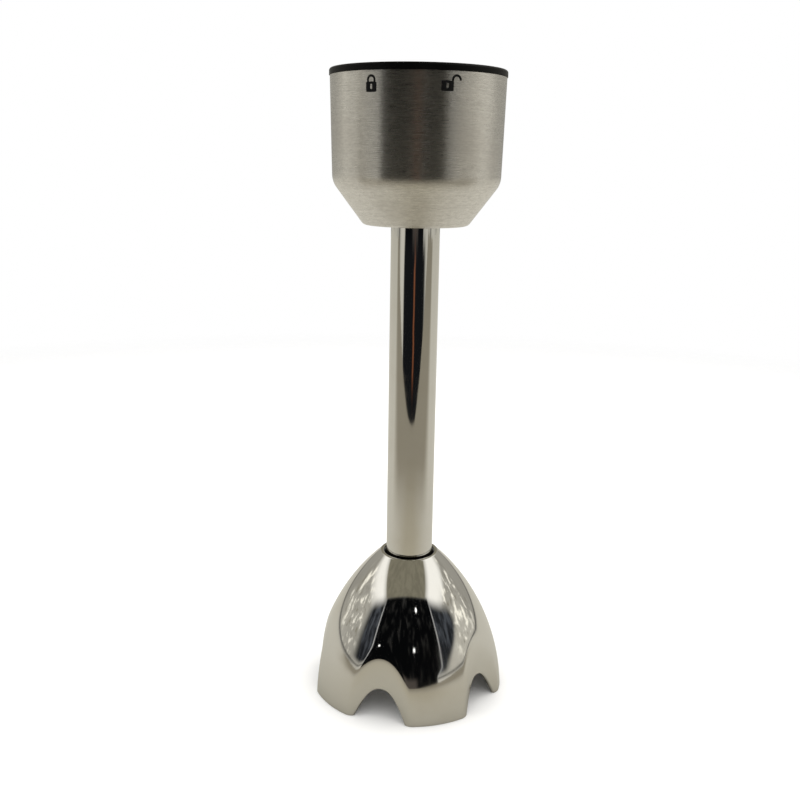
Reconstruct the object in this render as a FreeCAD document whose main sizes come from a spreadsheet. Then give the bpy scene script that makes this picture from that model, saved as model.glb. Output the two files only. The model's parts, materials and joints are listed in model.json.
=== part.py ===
"""Detachable blending shaft of a stick blender, as a parametric FreeCAD document.

A steel cup with a black plastic bayonet insert couples to a motor handle. A steel tube carries the drive
shaft down to a four-wing blade under a fluted steel bell. The shaft, blade and coupler spin together in two
bronze bushes, and the coupler can sink against a spring while its splines find those of the motor.

Frame: +Z up along the shaft, origin on the axis in the plane of the bell's feet, millimetres.
"""

import FreeCAD, Part

import math
import os

import Sketcher
from FreeCAD import Placement, Rotation, Vector

OUT_DIR = "parts"
AXIS_Z = Vector(0, 0, 1)
ORIGIN_POINT = (-1, 1)
VERTICAL_AXIS = -2
HORIZONTAL_AXIS = -1

# alias: value in millimetres or degrees, and what it is
SIZES = {
    # the outside
    "total_height": (236.5, "feet to the top of the plastic rim"),
    "cup_height": (51.9, "flat bottom to open edge of the steel cup"),
    "rim_height": (2.3, "plastic rim standing above the steel cup"),
    "cup_top_radius": (31.4, "outside, at the open edge"),
    "cup_shoulder_radius": (30.5, "outside, where the cone starts"),
    "cup_shoulder_rise": (15.2, "height of the cone"),
    "cup_floor_radius": (19.1, "outside, where the cone meets the flat bottom"),
    "cup_wall": (0.8, "sheet thickness of the cup"),
    "cup_shoulder_round": (8.0, "outer rounding at the shoulder"),
    "cup_floor_round": (2.5, "outer rounding at the flat bottom"),
    "rim_overhang": (0.25, "plastic rim beyond the cup's edge"),
    "rim_round": (0.8, "rounding of the plastic rim"),
    "tube_radius": (9.0, "outside of the long tube"),
    "tube_wall": (0.8, "tube wall"),
    "tube_foot": (30.0, "lower end of the tube, inside the bell"),
    "tube_head": (194.0, "upper end of the tube, inside the cup"),
    # the bell
    "bell_radius": (37.9, "outside, at the feet"),
    "bell_offset": (42.8, "how far the ogive's centre lies beyond the axis"),
    "bell_drop": (4.7, "how far the ogive's centre lies below the feet"),
    "bell_height": (55.5, "feet to the bell's neck"),
    "bell_wall": (1.2, "sheet thickness of the bell"),
    "neck_thickness": (1.6, "top of the bell, where the tube passes"),
    "neck_recess": (1.0, "depth and width of the groove around the tube"),
    "neck_collar": (8.0, "length of the drawn collar that is brazed to the tube"),
    "flute_radius": (24.0, "radius of each vertical flute"),
    "flute_depth": (4.7, "depth of each flute at the feet"),
    "flute_first": (-17.5, "azimuth of the first flute, from -Y towards +X"),
    "notch_half_width": (9.6, "half width of a notch at the feet"),
    "notch_height": (12.0, "height of a notch"),
    "notch_crown": (7.0, "radius of a notch's crown"),
    # the bayonet insert
    "insert_radius": (29.45, "outside of the insert's skirt"),
    "bore_radius": (27.0, "spigot bore of the insert"),
    "bore_length": (13.4, "length of the spigot bore"),
    "bore_lead": (0.6, "lead-in chamfer of the bore"),
    "well_radius": (25.5, "bore under the seating ledge"),
    "insert_floor": (200.5, "upper face of the insert's floor"),
    "floor_thickness": (2.0, "floor of the insert"),
    "floor_hole_radius": (7.5, "hole around the shaft in that floor"),
    "slot_radius": (28.6, "bottom of the bayonet slots"),
    "slot_height": (5.0, "height of a bayonet groove"),
    "slot_ledge": (1.7, "groove above the seating ledge"),
    "slot_entry": (19.0, "angle of a slot's mouth, degrees"),
    "lock_turn": (49.0, "angle from unlocked to locked, degrees"),
    "lock_azimuth": (19.5, "azimuth of the unlocked position, degrees"),
    "screw_circle": (13.4, "radius of the circle of the three screws"),
    "pillar_radius": (3.0, "hollow pillars that the screws pass"),
    "screw_radius": (1.5, "screw shank"),
    "screw_head_radius": (2.7, "screw head"),
    "screw_head_height": (2.0, "screw head"),
    "collar_radius": (17.4, "tube collar on the cup's floor"),
    "collar_height": (7.0, "tube collar"),
    "gasket_height": (1.0, "gasket between collar and cup"),
    # the running gear
    "shaft_radius": (2.5, "drive shaft"),
    "shaft_flat": (2.0, "half the distance across the shaft's flats"),
    "head_screw_radius": (1.25, "screw in the head of the shaft"),
    "seal_radius": (6.2, "outside of the lip seal"),
    "oring_wire": (0.5, "half the thickness of the O-ring"),
    "cap_sheet": (0.8, "sheet thickness of the seal cap"),
    "seal_gap": (0.3, "gap between the seal cap and the washer that spins under it"),
    "hub_washer": (0.8, "thickness of that washer"),
    "steady_foot": (112.0, "lower face of the steady ring in the tube"),
    "steady_length": (8.0, "steady ring"),
    "running_gap": (0.04, "radial clearance of the shaft in its bushes"),
    "bush_radius": (5.0, "outside of the bronze bushes"),
    "bush_length": (12.0, "bronze bushes"),
    "blade_level": (12.0, "underside of the blade's middle"),
    "blade_radius": (25.0, "tip of a blade wing"),
    "blade_thickness": (1.5, "blade sheet"),
    "blade_chord": (9.0, "width of a blade wing"),
    "plate_radius": (6.2, "round middle of the blade"),
    "wing_root": (4.3, "where a wing leaves the middle, clear of the nut"),
    "blade_hub_radius": (5.0, "hub above the blade"),
    "wing_rise": (22.0, "bend of the two raised wings, degrees"),
    "wing_dip": (-4.0, "bend of the two lower wings, degrees"),
    "tail_radius": (1.9, "threaded tail of the shaft"),
    "end_play": (0.05, "gap left at faces that slide on each other"),
    "coupler_radius": (8.0, "drive coupler"),
    "coupler_foot": (204.6, "lower edge of the drive coupler"),
    "coupler_web": (209.5, "underside of the coupler's web"),
    "coupler_seat": (213.5, "bottom of the coupler's socket"),
    "coupler_top": (222.0, "upper edge of the drive coupler"),
    "socket_radius": (5.6, "corner radius of the star socket"),
    "spring_radius": (3.9, "mean radius of the coupler spring"),
    "spring_wire": (0.4, "wire radius of the coupler spring"),
    "spring_pitch": (2.15, "pitch of the coupler spring"),
    "spring_foot": (199.9, "lower end of the coupler spring"),
}
FLUTES = 5
SLOTS = 3
SCREWS = 3
WINGS = 4

doc = FreeCAD.newDocument("BlendingShaft")
sheet = doc.addObject("Spreadsheet::Sheet", "Size")
for row, (alias, (value, note)) in enumerate(SIZES.items(), start=1):
    sheet.set(f"A{row}", note)
    sheet.set(f"B{row}", str(value))
    sheet.setAlias(f"B{row}", alias)
doc.recompute()


def size(expression):
    """The value in millimetres of an expression on the sheet's cells."""
    value = sheet.evalExpression(expression)
    return float(getattr(value, "Value", value))


def bound(obj, **expressions):
    """Binds properties of an object to expressions on the sheet."""
    for name, expression in expressions.items():
        obj.setExpression(name, expression)
    return obj


def sketch_on(body, role):
    """A new sketch on one of the body's own origin planes."""
    sketch = body.newObject("Sketcher::SketchObject", body.Name + "_sketch")
    plane = next(f for f in body.Origin.OriginFeatures if f.Role == role)
    sketch.AttachmentSupport = [(plane, "")]
    sketch.MapMode = "FlatFace"
    return sketch


def fix_point(sketch, geo, pos, across, up):
    """Ties a sketch point to two expressions, or to an axis where one is 0."""
    ways = (("DistanceX", across, VERTICAL_AXIS), ("DistanceY", up, HORIZONTAL_AXIS))
    for kind, expression, axis in ways:
        if expression == "0":
            sketch.addConstraint(Sketcher.Constraint("PointOnObject", geo, pos, axis))
        elif size(expression) < 0:
            reverse = Sketcher.Constraint(kind, geo, pos, *ORIGIN_POINT, -size(expression))
            index = sketch.addConstraint(reverse)
            sketch.setExpression(f"Constraints[{index}]", f"-({expression})")
        else:
            forward = Sketcher.Constraint(kind, *ORIGIN_POINT, geo, pos, size(expression))
            index = sketch.addConstraint(forward)
            sketch.setExpression(f"Constraints[{index}]", expression)


def outline(sketch, corners):
    """A closed outline of straight lines through corners given as pairs of expressions."""
    points = [Vector(size(a), size(b), 0) for a, b in corners]
    for i, point in enumerate(points):
        sketch.addGeometry(Part.LineSegment(point, points[(i + 1) % len(points)]))
    for i, (across, up) in enumerate(corners):
        sketch.addConstraint(Sketcher.Constraint("Coincident", i - 1 if i else len(corners) - 1, 2, i, 1))
        fix_point(sketch, i, 1, across, up)


def new_body(label):
    body = doc.addObject("PartDesign::Body", label)
    body.Label = label
    return body


def spin(body, sketch):
    """Revolves a sketch of the XZ plane a full turn about the axis."""
    turn = body.newObject("PartDesign::Revolution", body.Name + "_turn")
    turn.Profile = sketch
    turn.ReferenceAxis = (sketch, ["V_Axis"])
    turn.Angle = 360
    sketch.Visibility = False
    doc.recompute()
    return turn


def turned(label, corners):
    """A turned piece: a body whose profile's corners are (radius, height) expressions."""
    body = new_body(label)
    sketch = sketch_on(body, "XZ_Plane")
    outline(sketch, corners)
    spin(body, sketch)
    return body


def ring(label, inner, outer, low, high):
    """A turned ring of rectangular section."""
    return turned(label, [(inner, low), (outer, low), (outer, high), (inner, high)])


def rounded(body, radius, *circles):
    """Rounds the body's circular edges of the given (radius, height) expressions."""
    wanted = [(size(r), size(z)) for r, z in circles]
    names = []
    for i, edge in enumerate(body.Shape.Edges, start=1):
        curve = edge.Curve
        if not isinstance(curve, Part.Circle):
            continue
        for r, z in wanted:
            if abs(curve.Radius - r) < 0.01 and abs(curve.Center.z - z) < 0.01:
                names.append(f"Edge{i}")
    assert len(names) == len(wanted), f"{body.Label}: {len(names)} edges found for {len(wanted)}"
    base = body.Tip
    fillet = body.newObject("PartDesign::Fillet", body.Name + "_round")
    fillet.Base = (base, names)
    bound(fillet, Radius=radius)
    body.Tip = fillet
    doc.recompute()
    return body


def placed(solid, low, turn="0", reach="0"):
    """Stands a solid on the plane z = low, turned by an azimuth and moved out along it."""
    solid.setExpression("Placement.Base.x", f"({reach}) * sin(({turn}) * 1 deg)")
    solid.setExpression("Placement.Base.y", f"-({reach}) * cos(({turn}) * 1 deg)")
    solid.setExpression("Placement.Base.z", low)
    solid.setExpression("Placement.Rotation.Angle", turn)
    return solid


def cylinder(name, radius, height, low, turn="0", reach="0", sector="360"):
    """A cylinder, or a sector of one, placed as above."""
    solid = doc.addObject("Part::Cylinder", name)
    bound(solid, Radius=radius, Height=height, Angle=sector)
    return placed(solid, low, turn, reach)


def prism(name, circumradius, height, low, turn="0", reach="0"):
    """A hexagonal prism, placed as above."""
    solid = doc.addObject("Part::Prism", name)
    solid.Polygon = 6
    bound(solid, Circumradius=circumradius, Height=height)
    return placed(solid, low, turn, reach)


def box(name, length, width, height, x, y, z):
    solid = doc.addObject("Part::Box", name)
    bound(solid, Length=length, Width=width, Height=height)
    for axis, expression in zip("xyz", (x, y, z)):
        solid.setExpression(f"Placement.Base.{axis}", expression)
    return solid


def shared_turn(index, count, first="0"):
    """Azimuth of one of count equal places round the axis, as an expression."""
    return f"{first} + {360 / count * index:g}"


def oring(label, radius, wire, height):
    """A round-section ring about the axis."""
    torus = doc.addObject("Part::Torus", label)
    torus.Label = label
    bound(torus, Radius1=radius, Radius2=wire)
    return placed(torus, height)


def finished(made, label, base):
    """Gives a solid the node's label, and marks the solid that it was made from as its blank."""
    doc.recompute()
    base.Label = base.Label + "_blank"
    made.Label = label
    return made


def cut(label, base, *tools):
    """The base less its tools, which are joined first where there are several."""
    tool = tools[0]
    if len(tools) > 1:
        tool = doc.addObject("Part::MultiFuse", label + "_tools")
        tool.Shapes = list(tools)
    made = doc.addObject("Part::Cut", label + "_cut")
    made.Base = base
    made.Tool = tool
    return finished(made, label, base)


def fused(label, base, *others):
    """The base joined with the others."""
    made = doc.addObject("Part::MultiFuse", label + "_fused")
    made.Shapes = [base, *others]
    return finished(made, label, base)


# heights that several pieces share
CUP_FLOOR = "Size.total_height - Size.rim_height - Size.cup_height"
CUP_EDGE = "Size.total_height - Size.rim_height"
CUP_INSIDE = CUP_FLOOR + " + Size.cup_wall"
COLLAR_LOW = CUP_INSIDE + " + Size.gasket_height"
COLLAR_HIGH = COLLAR_LOW + " + Size.collar_height"
TUBE_BORE = "Size.tube_radius - Size.tube_wall"
SHAFT_HOLE = "Size.shaft_radius + Size.running_gap"
LEDGE = "Size.total_height - Size.bore_length"
FLANGE_TOP = "Size.tube_head + 3"
SEAL_LOW = "Size.tube_foot - 3"
BLADE_TOP = "Size.blade_level + Size.blade_thickness"


def coupling_cup():
    """Deep-drawn cup: flat bottom around the tube, a cone, then a wall with a little draft."""
    shoulder = CUP_FLOOR + " + Size.cup_shoulder_rise"
    inner_floor_radius = "Size.cup_floor_radius - 0.35 * Size.cup_wall"
    body = turned(
        "coupling_cup",
        [
            ("Size.tube_radius", CUP_FLOOR),
            ("Size.cup_floor_radius", CUP_FLOOR),
            ("Size.cup_shoulder_radius", shoulder),
            ("Size.cup_top_radius", CUP_EDGE),
            ("Size.cup_top_radius - Size.cup_wall", CUP_EDGE),
            ("Size.cup_shoulder_radius - Size.cup_wall", shoulder + " + 0.3 * Size.cup_wall"),
            (inner_floor_radius, CUP_INSIDE),
            ("Size.tube_radius", CUP_INSIDE),
        ],
    )
    rounded(body, "Size.cup_shoulder_round", ("Size.cup_shoulder_radius", shoulder))
    rounded(body, "Size.cup_floor_round", ("Size.cup_floor_radius", CUP_FLOOR))
    inside = ("Size.cup_shoulder_radius - Size.cup_wall", shoulder + " + 0.3 * Size.cup_wall")
    rounded(body, "Size.cup_shoulder_round - Size.cup_wall", inside)
    rounded(body, "Size.cup_floor_round - Size.cup_wall", (inner_floor_radius, CUP_INSIDE))
    return body


def coupling_insert():
    """Black moulding: visible rim, spigot bore with three L-shaped bayonet slots, floor on pillars."""
    under = "Size.insert_floor - Size.floor_thickness"
    rim_radius = "Size.cup_top_radius + Size.rim_overhang"
    body = turned(
        "coupling_insert",
        [
            ("Size.floor_hole_radius", FLANGE_TOP),
            ("Size.floor_hole_radius + 2.5", FLANGE_TOP),
            ("Size.floor_hole_radius + 2.5", under),
            ("Size.insert_radius", under),
            ("Size.insert_radius", CUP_EDGE),
            (rim_radius, CUP_EDGE),
            (rim_radius, "Size.total_height"),
            ("Size.bore_radius + Size.bore_lead", "Size.total_height"),
            ("Size.bore_radius", "Size.total_height - Size.bore_lead"),
            ("Size.bore_radius", LEDGE),
            ("Size.well_radius", LEDGE),
            ("Size.well_radius", "Size.insert_floor"),
            ("Size.floor_hole_radius", "Size.insert_floor"),
        ],
    )
    rounded(body, "Size.rim_round", (rim_radius, "Size.total_height"))
    pillar_height = f"{under} - ({COLLAR_HIGH})"
    groove_low = LEDGE + " + Size.slot_ledge"
    mouth_height = "Size.bore_length + Size.bore_lead - Size.slot_ledge + 1"
    pillars = []
    cutters = []
    for i in range(SCREWS):
        place = (COLLAR_HIGH, shared_turn(i, SCREWS), "Size.screw_circle")
        pillars.append(cylinder(f"pillar_{i}", "Size.pillar_radius", pillar_height, *place))
        cutters.append(cylinder(f"pillar_hole_{i}", "Size.screw_radius + 0.1", "20", *place))
    for i in range(SLOTS):
        mouth_turn = shared_turn(i, SLOTS, "Size.lock_azimuth - Size.slot_entry / 2 - 90")
        groove_turn = mouth_turn + " - Size.lock_turn"
        for name, height, turn, sector in (
            ("mouth", mouth_height, mouth_turn, "Size.slot_entry"),
            ("groove", "Size.slot_height", groove_turn, "Size.slot_entry + Size.lock_turn"),
        ):
            slot = cylinder(f"slot_{name}_{i}", "Size.slot_radius", height, groove_low, turn, sector=sector)
            cutters.append(slot)
    return cut("coupling_insert", fused("coupling_insert", body, *pillars), *cutters)


def collar_screws():
    """Three identical socket screws, from the insert's floor down into the tube collar, as one group."""
    tip = COLLAR_LOW + " + 1"
    head_top = "Size.insert_floor + Size.screw_head_height"
    blank = turned(
        "collar_screw",
        [
            ("0", tip),
            ("Size.screw_radius", tip),
            ("Size.screw_radius", "Size.insert_floor"),
            ("Size.screw_head_radius", "Size.insert_floor"),
            ("Size.screw_head_radius", head_top),
            ("0", head_top),
        ],
    )
    socket_low = "Size.insert_floor + 0.35 * Size.screw_head_height"
    socket = prism("screw_socket", "0.55 * Size.screw_head_radius", "Size.screw_head_height", socket_low)
    one = cut("collar_screw", blank, socket)
    group = doc.addObject("Part::Compound", "collar_screws")
    group.Label = "collar_screws"
    links = []
    for i in range(SCREWS):
        link = doc.addObject("App::Link", f"collar_screw_{i}")
        link.LinkedObject = one
        links.append(placed(link, "0", shared_turn(i, SCREWS), "Size.screw_circle"))
    group.Links = links
    return group


def tube_collar():
    """Ring brazed round the tube on the cup's floor, tapped for the three screws."""
    blank = ring("tube_collar", "Size.tube_radius", "Size.collar_radius", COLLAR_LOW, COLLAR_HIGH)
    holes = []
    for i in range(SCREWS):
        place = (COLLAR_LOW, shared_turn(i, SCREWS), "Size.screw_circle")
        holes.append(cylinder(f"collar_hole_{i}", "Size.screw_radius", "20", *place))
    return cut("tube_collar", blank, *holes)


def bell_form(label, inset):
    """The bell's solid form: an ogive less its flutes, pulled in by inset from the outside."""
    body = new_body(label)
    sketch = sketch_on(body, "XZ_Plane")
    radius = f"sqrt((Size.bell_radius + Size.bell_offset)^2 + Size.bell_drop^2) - {inset}"
    top = "Size.bell_height" if inset == "0" else "Size.bell_height - Size.neck_thickness"
    centre = Vector(-size("Size.bell_offset"), -size("Size.bell_drop"), 0)
    high = size(top)
    neck = centre.x + math.sqrt(size(radius) ** 2 - (high - centre.y) ** 2)
    foot = centre.x + math.sqrt(size(radius) ** 2 - centre.y**2)
    circle = Part.Circle(centre, AXIS_Z, size(radius))
    start = circle.parameter(Vector(foot, 0, 0))
    end = circle.parameter(Vector(neck, high, 0))
    sketch.addGeometry(Part.LineSegment(Vector(0, 0, 0), Vector(foot, 0, 0)))
    sketch.addGeometry(Part.ArcOfCircle(circle, start, end))
    sketch.addGeometry(Part.LineSegment(Vector(neck, high, 0), Vector(0, high, 0)))
    sketch.addGeometry(Part.LineSegment(Vector(0, high, 0), Vector(0, 0, 0)))
    for first, second in ((0, 1), (1, 2), (2, 3), (3, 0)):
        sketch.addConstraint(Sketcher.Constraint("Coincident", first, 2, second, 1))
    sketch.addConstraint(Sketcher.Constraint("Coincident", 0, 1, *ORIGIN_POINT))
    sketch.addConstraint(Sketcher.Constraint("Horizontal", 0))
    sketch.addConstraint(Sketcher.Constraint("Horizontal", 2))
    sketch.addConstraint(Sketcher.Constraint("Vertical", 3))
    fix_point(sketch, 1, 3, "-Size.bell_offset", "-Size.bell_drop")
    index = sketch.addConstraint(Sketcher.Constraint("Radius", 1, size(radius)))
    sketch.setExpression(f"Constraints[{index}]", radius)
    index = sketch.addConstraint(Sketcher.Constraint("DistanceY", *ORIGIN_POINT, 2, 2, high))
    sketch.setExpression(f"Constraints[{index}]", top)
    spin(body, sketch)
    reach = "Size.bell_radius - Size.flute_depth + Size.flute_radius"
    flutes = []
    for i in range(FLUTES):
        place = ("-10", shared_turn(i, FLUTES, "Size.flute_first"), reach)
        flutes.append(cylinder(f"{label}_flute_{i}", f"Size.flute_radius + {inset}", "80", *place))
    return cut(label, body, *flutes)


def notch(index):
    """A prism that cuts one arched notch: a round crown on two flared straight sides."""
    body = new_body(f"notch_{index}")
    sketch = sketch_on(body, "XZ_Plane")
    half, crown = size("Size.notch_half_width"), size("Size.notch_crown")
    foot = Vector(half, 0, 0)
    centre = Vector(0, size("Size.notch_height") - crown, 0)
    # a side touches the crown where the crown's radius is square to it
    reach = foot.distanceToPoint(centre)
    angle = math.atan2(-centre.y, half) + math.acos(crown / reach)
    touch = centre + Vector(math.cos(angle), math.sin(angle), 0) * crown
    foot_left = Vector(-half, 0, 0)
    touch_left = Vector(-touch.x, touch.y, 0)
    sketch.addGeometry(Part.LineSegment(foot_left, foot))
    sketch.addGeometry(Part.LineSegment(foot, touch))
    sketch.addGeometry(Part.Arc(touch, centre + Vector(0, crown, 0), touch_left))
    sketch.addGeometry(Part.LineSegment(touch_left, foot_left))
    joins = ((0, 1, "Coincident"), (1, 2, "Tangent"), (2, 3, "Tangent"), (3, 0, "Coincident"))
    for first, second, kind in joins:
        sketch.addConstraint(Sketcher.Constraint(kind, first, 2, second, 1))
    fix_point(sketch, 0, 1, "-Size.notch_half_width", "0")
    fix_point(sketch, 0, 2, "Size.notch_half_width", "0")
    fix_point(sketch, 2, 3, "0", "Size.notch_height - Size.notch_crown")
    index_radius = sketch.addConstraint(Sketcher.Constraint("Radius", 2, crown))
    sketch.setExpression(f"Constraints[{index_radius}]", "Size.notch_crown")
    pad = body.newObject("PartDesign::Pad", body.Name + "_pad")
    pad.Profile = sketch
    bound(pad, Length="Size.bell_radius + 10")
    return placed(body, "0", shared_turn(index, FLUTES, "Size.flute_first"))


def bell():
    """Thin fluted shell on five feet, notched at the foot of each flute, with a drawn neck collar."""
    outer = bell_form("bell_outer", "0")
    inner = bell_form("bell_inner", "Size.bell_wall")
    under_neck = "Size.bell_height - Size.neck_thickness"
    recess_radius = "Size.tube_radius + Size.neck_recess"
    hole = cylinder("bell_hole", "Size.tube_radius", "60", "20")
    recess = cylinder("bell_recess", recess_radius, "10", "Size.bell_height - Size.neck_recess")
    notches = [notch(i) for i in range(FLUTES)]
    shell = cut("bell_shell", outer, inner, hole, recess, *notches)
    collar_low = f"{under_neck} - Size.neck_collar"
    collar = ring("bell_collar", "Size.tube_radius", recess_radius, collar_low, under_neck)
    return fused("bell", shell, collar)


def upper_bearing():
    """Plastic plug in the head of the tube, with its bronze bush and the dust seal above it."""
    bush_top = "Size.tube_head - 1"
    bush_low = f"{bush_top} - Size.bush_length"
    turned(
        "upper_bearing_holder",
        [
            ("Size.bush_radius - 1", "Size.tube_head - 20"),
            (TUBE_BORE, "Size.tube_head - 20"),
            (TUBE_BORE, "Size.tube_head"),
            ("Size.tube_radius + 1", "Size.tube_head"),
            ("Size.tube_radius + 1", FLANGE_TOP),
            ("Size.bush_radius", FLANGE_TOP),
            ("Size.bush_radius", bush_low),
            ("Size.bush_radius - 1", bush_low),
        ],
    )
    ring("upper_bush", SHAFT_HOLE, "Size.bush_radius", bush_low, bush_top)
    ring("dust_seal", "Size.shaft_radius + 0.05", "Size.bush_radius", bush_top, bush_top + " + 3")


def lower_bearing():
    """Plastic plug in the foot of the tube, with its bush, O-ring, lip seal and steel seal cap."""
    bush_low = "Size.tube_foot + 2"
    bush_top = f"{bush_low} + Size.bush_length"
    plug_top = "Size.tube_foot + 20"
    groove_low = "Size.tube_foot + 16"
    flange = "Size.tube_radius + 0.8"
    turned(
        "lower_bearing_holder",
        [
            ("Size.seal_radius", SEAL_LOW),
            (flange, SEAL_LOW),
            (flange, "Size.tube_foot"),
            (TUBE_BORE, "Size.tube_foot"),
            (TUBE_BORE, groove_low),
            (TUBE_BORE + " - 2 * Size.oring_wire", groove_low),
            (TUBE_BORE + " - 2 * Size.oring_wire", groove_low + " + 2 * Size.oring_wire"),
            (TUBE_BORE, groove_low + " + 2 * Size.oring_wire"),
            (TUBE_BORE, plug_top),
            ("Size.bush_radius - 1", plug_top),
            ("Size.bush_radius - 1", bush_top),
            ("Size.bush_radius", bush_top),
            ("Size.bush_radius", bush_low),
            ("Size.seal_radius", bush_low),
        ],
    )
    ring("lower_bush", SHAFT_HOLE, "Size.bush_radius", bush_low, bush_top)
    oring_level = groove_low + " + Size.oring_wire"
    oring("holder_oring", TUBE_BORE + " - Size.oring_wire", "Size.oring_wire", oring_level)
    lip = "Size.shaft_radius + 0.05"
    turned(
        "lip_seal",
        [
            (lip, "Size.tube_foot - 1"),
            ("Size.shaft_radius + 1.2", SEAL_LOW),
            ("Size.seal_radius", SEAL_LOW),
            ("Size.seal_radius", bush_low),
            ("Size.seal_radius - 1.6", bush_low),
            ("Size.seal_radius - 1.6", "Size.tube_foot - 0.9"),
            ("Size.shaft_radius + 0.9", "Size.tube_foot - 0.9"),
            ("Size.shaft_radius + 0.9", "Size.tube_foot + 0.6"),
            (lip, "Size.tube_foot + 0.4"),
        ],
    )
    oring("seal_spring", "Size.shaft_radius + 1.25", "0.34", "Size.tube_foot - 0.2")
    turned(
        "seal_cap",
        [
            ("Size.shaft_radius + 1.3", f"{SEAL_LOW} - Size.cap_sheet"),
            (f"{flange} + Size.cap_sheet", f"{SEAL_LOW} - Size.cap_sheet"),
            (f"{flange} + Size.cap_sheet", "Size.tube_foot + 2"),
            ("Size.tube_radius", "Size.tube_foot + 2"),
            ("Size.tube_radius", "Size.tube_foot"),
            (flange, "Size.tube_foot"),
            (flange, SEAL_LOW),
            ("Size.shaft_radius + 1.3", SEAL_LOW),
        ],
    )


def drive_shaft():
    """Steel rod with a threaded tail under the blade and two flats for the coupler at its head."""
    groove_low = "Size.spring_foot - 1.5"
    groove_top = "Size.spring_foot - 0.7"
    head = "Size.coupler_seat + Size.end_play"
    blank = turned(
        "drive_shaft",
        [
            ("0", "Size.blade_level - 3.6"),
            ("Size.tail_radius", "Size.blade_level - 3.6"),
            ("Size.tail_radius", BLADE_TOP),
            ("Size.shaft_radius", BLADE_TOP),
            ("Size.shaft_radius", groove_low),
            ("Size.shaft_radius - 0.5", groove_low),
            ("Size.shaft_radius - 0.5", groove_top),
            ("Size.shaft_radius", groove_top),
            ("Size.shaft_radius", head),
            ("Size.head_screw_radius", head),
            ("Size.head_screw_radius", head + " - 9"),
            ("0", head + " - 9"),
        ],
    )
    flats = []
    for side, where in (("right", "Size.shaft_flat"), ("left", "-Size.shaft_flat - 5")):
        flats.append(box(f"flat_{side}", "5", "10", "20", where, "-5", "Size.spring_foot + 1"))
    return cut("drive_shaft", blank, *flats)


def shaft_stack():
    """Thrust washer, split clip in the shaft's groove, and the seat that the spring stands on."""
    clip_low = "Size.spring_foot - 1.5"
    clip_top = "Size.spring_foot - 0.72"
    washer_low = FLANGE_TOP + " + Size.end_play"
    washer_radius = "Size.bush_radius + 1.4"
    washer_bore = "Size.shaft_radius + 0.03"
    ring("thrust_washer", washer_bore, washer_radius, washer_low, f"{clip_low} - 0.02")
    blank = ring("shaft_clip", "Size.shaft_radius - 0.5", "4.8", clip_low, clip_top)
    cut("shaft_clip", blank, box("clip_gap", "3", "8", "3", "-1.5", "0", f"{clip_low} - 1"))
    ring("spring_seat", "Size.shaft_radius + 0.02", "5", "Size.spring_foot - 0.7", "Size.spring_foot")


def drive_coupler():
    """Nylon dog: a twelve-point socket above, the shaft's flats in its web, the spring's well below."""
    well = "Size.spring_radius + Size.spring_wire + 0.6"
    under = "Size.coupler_web - 5"
    blank = turned(
        "drive_coupler",
        [
            ("0", "Size.coupler_web"),
            (well, "Size.coupler_web"),
            (well, "Size.coupler_foot"),
            ("Size.coupler_radius", "Size.coupler_foot"),
            ("Size.coupler_radius", "Size.coupler_top - 1"),
            ("Size.coupler_radius - 1", "Size.coupler_top"),
            ("0", "Size.coupler_top"),
        ],
    )
    sockets = []
    for i in range(2):
        sockets.append(prism(f"socket_{i}", "Size.socket_radius", "20", "Size.coupler_seat", str(30 * i)))
    rod = cylinder("web_rod", "Size.shaft_radius + 0.06", "20", under)
    across = "2 * Size.shaft_flat + 0.12"
    slab = box("web_slab", across, "10", "20", "-Size.shaft_flat - 0.06", "-5", under)
    bore = doc.addObject("Part::Common", "web_bore")
    bore.Base = rod
    bore.Tool = slab
    return cut("drive_coupler", blank, *sockets, bore)


def coupler_spring():
    """Round-wire compression spring between its seat and the coupler's web."""
    body = new_body("coupler_spring")
    sketch = sketch_on(body, "XZ_Plane")
    start = "Size.spring_foot + Size.spring_wire + 0.02"
    centre = Vector(size("Size.spring_radius"), size(start), 0)
    sketch.addGeometry(Part.Circle(centre, AXIS_Z, size("Size.spring_wire")))
    fix_point(sketch, 0, 3, "Size.spring_radius", start)
    index = sketch.addConstraint(Sketcher.Constraint("Radius", 0, size("Size.spring_wire")))
    sketch.setExpression(f"Constraints[{index}]", "Size.spring_wire")
    coil = body.newObject("PartDesign::AdditiveHelix", "coupler_spring_coil")
    coil.Profile = sketch
    coil.ReferenceAxis = (sketch, ["V_Axis"])
    coil.Mode = 0
    bound(coil, Pitch="Size.spring_pitch")
    bound(coil, Height="Size.coupler_web - Size.spring_foot - 2 * Size.spring_wire - 0.06")
    return body


def head_screw():
    """Cross-recessed screw and washer in the end of the shaft that keep the coupler on it."""
    seat = "Size.coupler_seat + Size.end_play"
    washer_top = seat + " + 0.6"
    ring("coupler_washer", "Size.head_screw_radius + 0.05", "3.6", seat, washer_top)
    blank = turned(
        "coupler_screw",
        [
            ("0", seat + " - 8"),
            ("Size.head_screw_radius", seat + " - 8"),
            ("Size.head_screw_radius", washer_top),
            ("2.8", washer_top),
            ("2.8", washer_top + " + 1.4"),
            ("2", washer_top + " + 2.1"),
            ("0", washer_top + " + 2.1"),
        ],
    )
    recess_low = washer_top + " + 0.9"
    cross = [
        box("cross_x", "3.2", "0.7", "2", "-1.6", "-0.35", recess_low),
        box("cross_y", "0.7", "3.2", "2", "-0.35", "-1.6", recess_low),
    ]
    cut("coupler_screw", blank, *cross)


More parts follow.
